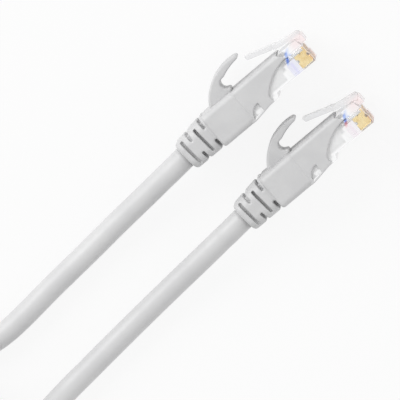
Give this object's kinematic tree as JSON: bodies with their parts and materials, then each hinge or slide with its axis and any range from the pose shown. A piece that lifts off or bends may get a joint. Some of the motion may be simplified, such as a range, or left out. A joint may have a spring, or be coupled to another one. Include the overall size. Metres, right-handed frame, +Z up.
{
  "type": "ethernet patch cable",
  "caption": "Round network patch lead with a clear latching modular plug in a snagless, slotted strain-relief boot at each end, its slack folded in a tied hank.",
  "frame": {"origin": "centre of the two plugged ends' footprint, on the surface they lie on", "axes": "+X the way both plugs enter their jacks, +Y towards the latch side, +Z up from the surface"},
  "size_m": [0.2291, 0.0418, 0.0207],
  "materials": {
    "boot_vinyl": "fine matte moulded vinyl, pale grey",
    "lead_jacket": "smooth semi-gloss vinyl jacket, pale grey",
    "tie_vinyl": "white vinyl-covered twist tie",
    "clear_plug": "clear moulded polycarbonate",
    "gold_contact": "polished gold flash",
    "wire_white_orange": "white insulation with an orange stripe",
    "wire_orange": "orange insulation",
    "wire_white_green": "white insulation with a green stripe",
    "wire_blue": "blue insulation",
    "wire_white_blue": "white insulation with a blue stripe",
    "wire_green": "green insulation",
    "wire_white_brown": "white insulation with a brown stripe",
    "wire_brown": "brown insulation"
  },
  "bodies": {
    "cable": {"boot_a": "boot_vinyl", "plug_shell_a": "clear_plug", "jacket_end_a": "lead_jacket", "jacket_clamp_a": "clear_plug", "load_bar_a": "clear_plug", "contact_a1": "gold_contact", "contact_a2": "gold_contact", "contact_a3": "gold_contact", "contact_a4": "gold_contact", "contact_a5": "gold_contact", "contact_a6": "gold_contact", "contact_a7": "gold_contact", "contact_a8": "gold_contact", "wire_a1": "wire_white_orange", "wire_a2": "wire_orange", "wire_a3": "wire_white_green", "wire_a4": "wire_blue", "wire_a5": "wire_white_blue", "wire_a6": "wire_green", "wire_a7": "wire_white_brown", "wire_a8": "wire_brown", "boot_b": "boot_vinyl", "plug_shell_b": "clear_plug", "jacket_end_b": "lead_jacket", "jacket_clamp_b": "clear_plug", "load_bar_b": "clear_plug", "contact_b1": "gold_contact", "contact_b2": "gold_contact", "contact_b3": "gold_contact", "contact_b4": "gold_contact", "contact_b5": "gold_contact", "contact_b6": "gold_contact", "contact_b7": "gold_contact", "contact_b8": "gold_contact", "wire_b1": "wire_white_orange", "wire_b2": "wire_orange", "wire_b3": "wire_white_green", "wire_b4": "wire_blue", "wire_b5": "wire_white_blue", "wire_b6": "wire_green", "wire_b7": "wire_white_brown", "wire_b8": "wire_brown", "hank_tie_1": "tie_vinyl", "hank_tie_2": "tie_vinyl", "lead_a": "lead_jacket", "lead_b": "lead_jacket", "lead_hank": "lead_jacket"},
    "snag_guard_a": {"finger_a": "boot_vinyl"},
    "release_latch_a": {"latch_a": "clear_plug"},
    "snag_guard_b": {"finger_b": "boot_vinyl"},
    "release_latch_b": {"latch_b": "clear_plug"}
  },
  "joints": [
    {"name": "guard_press_a", "type": "hinge", "parent": "cable", "child": "snag_guard_a", "pos_m": [-0.0035, 0.01503, 0.0068], "axis": [0, 0, -1], "range_deg": [0, 20], "stiffness_Nm_per_rad": 0.16},
    {"name": "latch_press_a", "type": "hinge", "parent": "cable", "child": "release_latch_a", "pos_m": [0.0185, 0.01148, 0.0068], "axis": [0, 0, 1], "range_deg": [0, 9]},
    {"name": "guard_press_b", "type": "hinge", "parent": "cable", "child": "snag_guard_b", "pos_m": [-0.0025, -0.00498, 0.0068], "axis": [0, 0, -1], "range_deg": [0, 20], "stiffness_Nm_per_rad": 0.16},
    {"name": "latch_press_b", "type": "hinge", "parent": "cable", "child": "release_latch_b", "pos_m": [0.0195, -0.00852, 0.0068], "axis": [0, 0, 1], "range_deg": [0, 9]}
  ],
  "couplings": [
    {"joint": "latch_press_a", "follows": "guard_press_a", "ratio": 0.45},
    {"joint": "latch_press_b", "follows": "guard_press_b", "ratio": 0.45}
  ]
}
